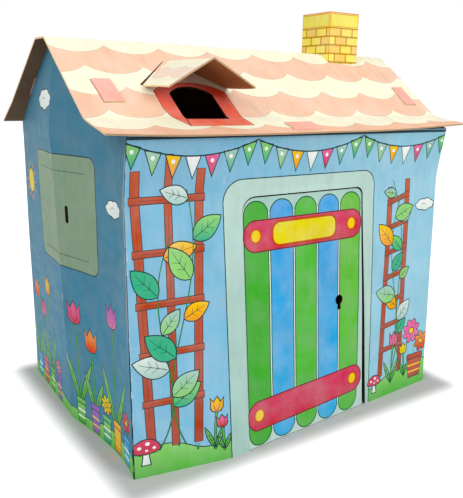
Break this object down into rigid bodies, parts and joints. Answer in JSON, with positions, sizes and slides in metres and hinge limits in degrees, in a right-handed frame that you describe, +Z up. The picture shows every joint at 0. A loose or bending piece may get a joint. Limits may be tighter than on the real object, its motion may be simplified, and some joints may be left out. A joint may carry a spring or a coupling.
{
  "type": "cardboard playhouse",
  "caption": "Play cottage folded from printed corrugated board, with a hinged door flap, window shutters, a slotted-on roof, a dormer and a chimney sleeve.",
  "frame": {"origin": "on the floor, under the middle of the whole outline", "axes": "+X to the right along the front wall, +Y from the front wall to the back wall, +Z up"},
  "size_m": [1.104, 0.761, 1.105],
  "materials": {
    "wall_print": "printed white-lined corrugated board, satin",
    "roof_print": "printed white-lined corrugated board, satin",
    "chimney_print": "printed white-lined corrugated board, satin",
    "door_print": "printed white-lined corrugated board, satin",
    "shutter_print": "printed white-lined corrugated board, satin"
  },
  "bodies": {
    "house": {"wall_sheet": "wall_print", "roof_sheet": "roof_print", "dormer_hood": "roof_print", "chimney_sleeve": "chimney_print"},
    "door": {"door_flap": "door_print"},
    "left_front_shutter": {"left_front_shutter": "shutter_print"},
    "left_back_shutter": {"left_back_shutter": "shutter_print"},
    "right_front_shutter": {"right_front_shutter": "shutter_print"},
    "right_back_shutter": {"right_back_shutter": "shutter_print"}
  },
  "joints": [
    {"name": "door_hinge", "type": "hinge", "parent": "house", "child": "door", "pos_m": [-0.205, -0.34931, 0.315], "axis": [0, -0.0888, -0.996], "range_deg": [0, 110]},
    {"name": "left_front_shutter_hinge", "type": "hinge", "parent": "house", "child": "left_front_shutter", "pos_m": [-0.50015, -0.1015, 0.569], "axis": [-0.0094, 0, 1], "range_deg": [0, 110]},
    {"name": "left_back_shutter_hinge", "type": "hinge", "parent": "house", "child": "left_back_shutter", "pos_m": [-0.52165, 0.1425, 0.569], "axis": [0.0219, 0, -0.9998], "range_deg": [0, 110]},
    {"name": "right_front_shutter_hinge", "type": "hinge", "parent": "house", "child": "right_front_shutter", "pos_m": [0.5211, -0.1015, 0.569], "axis": [-0.0212, 0, -0.9998], "range_deg": [0, 110]},
    {"name": "right_back_shutter_hinge", "type": "hinge", "parent": "house", "child": "right_back_shutter", "pos_m": [0.52165, 0.1425, 0.569], "axis": [0.0219, 0, 0.9998], "range_deg": [0, 110]}
  ]
}
